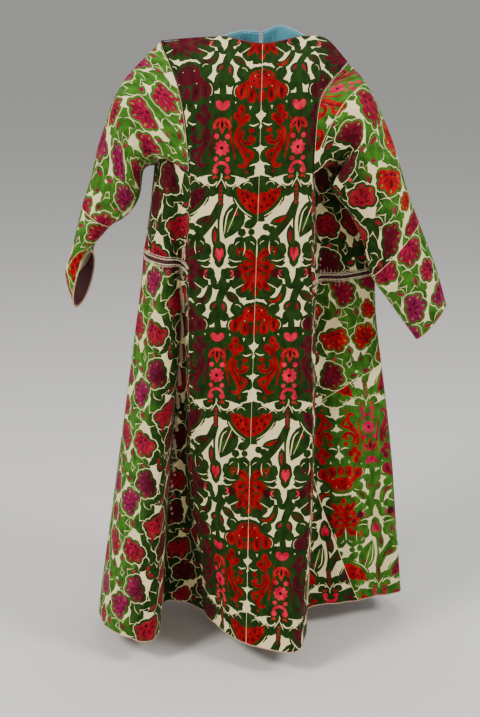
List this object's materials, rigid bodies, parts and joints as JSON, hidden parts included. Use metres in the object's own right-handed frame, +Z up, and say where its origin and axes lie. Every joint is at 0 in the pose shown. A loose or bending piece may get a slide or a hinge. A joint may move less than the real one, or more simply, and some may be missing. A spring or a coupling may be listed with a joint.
{
  "type": "gathered velvet robe",
  "caption": "Long collarless robe of figured cut velvet, open in front, with tapering sleeves, gathers under the arms, flared skirt and lined neck.",
  "frame": {"origin": "middle of the shoulders, where the wearer holds the robe up", "axes": "+Z up, -Y out of the robe's back, +Y out of its open front, -X to the wearer's left"},
  "size_m": [0.7952, 0.4243, 1.2848],
  "materials": {
    "cut_velvet": "green and red cut pile on a cream ground",
    "lining_cotton": "plain turquoise glazed cotton",
    "edge_cord": "pale pink-cream cord",
    "neck_binding": "narrow dark red binding",
    "gather_cord": "cream cotton piping",
    "gather_silk": "dark red silk strip"
  },
  "bodies": {
    "root": {"back_left": "cut_velvet", "back_right": "cut_velvet", "front_left": "cut_velvet", "front_right": "cut_velvet", "left_side_top": "cut_velvet", "right_side_top": "cut_velvet", "left_skirt": "cut_velvet", "right_skirt_top": "cut_velvet", "right_skirt": "cut_velvet", "right_gore": "cut_velvet", "left_sleeve": "cut_velvet", "left_sleeve_end": "cut_velvet", "right_sleeve_head": "cut_velvet", "right_sleeve": "cut_velvet", "right_sleeve_end": "cut_velvet", "left_cuff_facing": "cut_velvet", "lining_left": "lining_cotton", "lining_right": "lining_cotton", "left_gather_strip": "gather_silk", "right_gather_strip": "gather_silk", "left_piping_upper": "gather_cord", "left_piping_lower": "gather_cord", "right_piping_upper": "gather_cord", "right_piping_lower": "gather_cord", "neck_edging": "neck_binding", "hem_edging": "edge_cord", "left_cuff_edging": "edge_cord", "right_cuff_edging": "edge_cord"}
  },
  "joints": []
}
